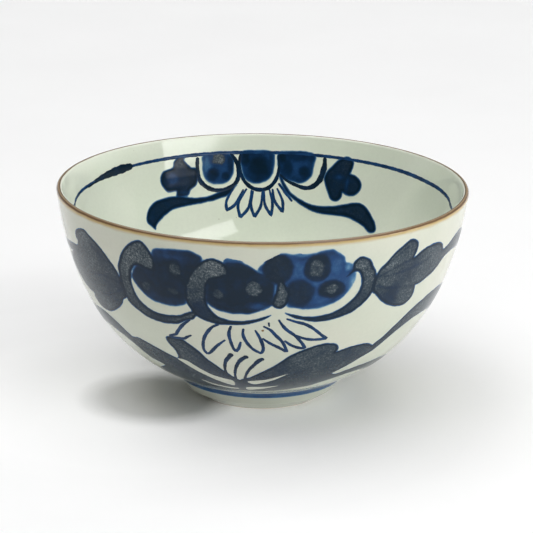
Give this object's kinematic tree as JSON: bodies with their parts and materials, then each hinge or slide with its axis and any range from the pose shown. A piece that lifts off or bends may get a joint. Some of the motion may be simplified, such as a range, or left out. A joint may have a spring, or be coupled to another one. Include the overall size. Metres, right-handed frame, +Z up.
{
  "type": "porcelain bowl",
  "caption": "Round porcelain bowl with a dressed brown rim and brush-painted blue flowers under glaze, standing on a turned foot ring.",
  "frame": {"origin": "on the table, under the middle of the foot ring", "axes": "+Z up through the middle of the bowl, +Y away from the viewer of the painted front, +X to that viewer's right"},
  "size_m": [0.12, 0.12, 0.063],
  "materials": {
    "clay": "fired porcelain, under the glaze",
    "bare_clay": "bare fired porcelain, matt, slightly warm at the glaze's edge",
    "inside_glaze": "glossy clear glaze with a faint green tint",
    "outside_glaze": "glossy clear glaze, warm grey-white with a faint green tint",
    "well_glaze": "glossy clear glaze, pooled in the corner of the well",
    "iron_dressing": "glossy iron-brown dressing, golden where it is thin",
    "cobalt": "brush-painted cobalt under glossy glaze, from pale blue wash to slate grey where thick"
  },
  "bodies": {
    "root": {"upper_wall": "clay", "lower_wall": "clay", "bowl_floor": "clay", "foot_ring": "bare_clay", "inner_glaze": "inside_glaze", "outer_glaze": "outside_glaze", "foot_well_glaze": "well_glaze", "rim_dressing": "iron_dressing", "foot_line": "cobalt"}
  },
  "joints": []
}
